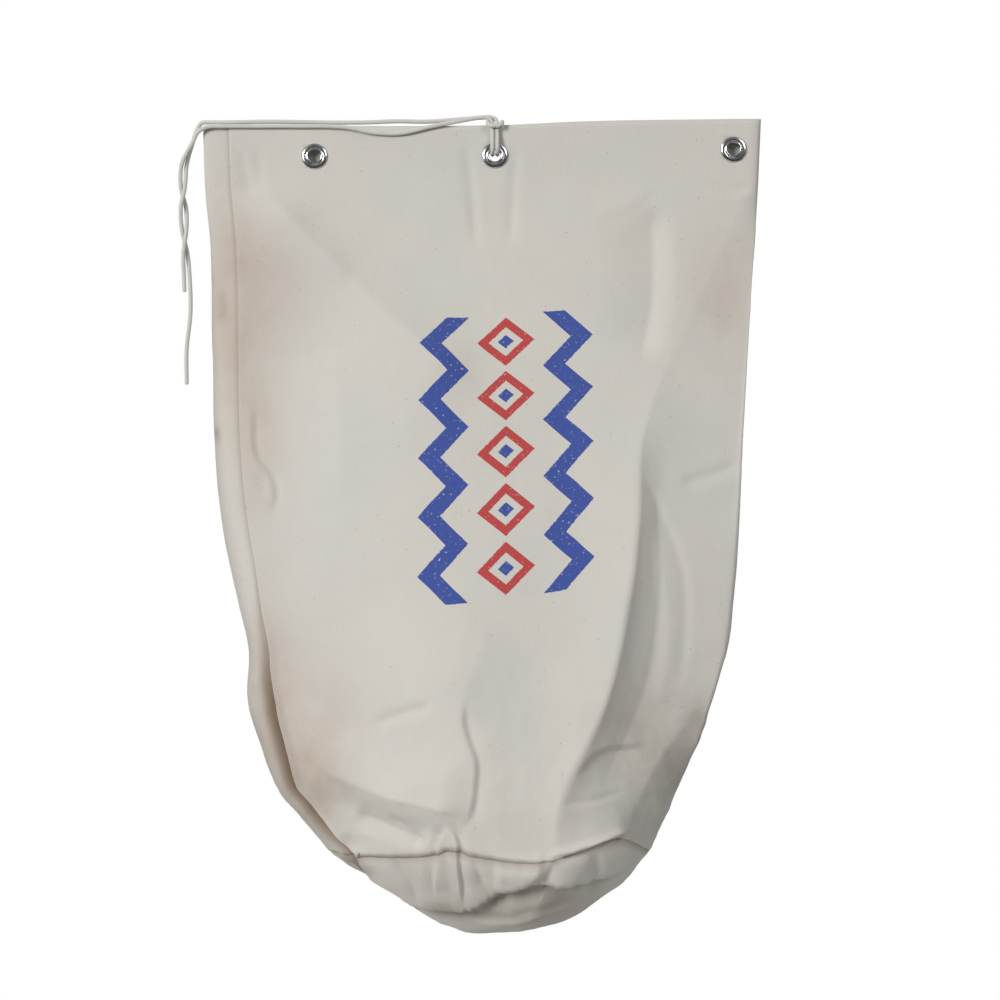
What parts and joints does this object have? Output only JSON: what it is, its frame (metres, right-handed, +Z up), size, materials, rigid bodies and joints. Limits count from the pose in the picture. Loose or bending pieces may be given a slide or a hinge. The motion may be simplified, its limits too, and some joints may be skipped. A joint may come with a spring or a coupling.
{
  "type": "canvas duffel bag",
  "caption": "Soft tube bag of off-white canvas with a round sewn base, eyelets round its flat mouth and a white drawcord, hung up by the mouth.",
  "frame": {"origin": "middle of the mouth's top edge, where the bag is pegged or hung up", "axes": "+Z up along the hanging bag, +X across the mouth to the viewer's right, the front faces -Y"},
  "size_m": [0.6361, 0.3124, 0.8936],
  "materials": {
    "canvas": "matt plain-weave cotton canvas, soiled and creased",
    "eyelet_chrome": "bright rolled eyelet",
    "cord": "braided white cotton"
  },
  "bodies": {
    "root": {"canvas_body": "canvas", "canvas_base": "canvas", "eyelet_front_left": "eyelet_chrome", "eyelet_front_middle": "eyelet_chrome", "eyelet_front_right": "eyelet_chrome", "eyelet_back_left": "eyelet_chrome", "eyelet_back_middle": "eyelet_chrome", "eyelet_back_right": "eyelet_chrome", "cord_long": "cord", "cord_short": "cord"}
  },
  "joints": []
}
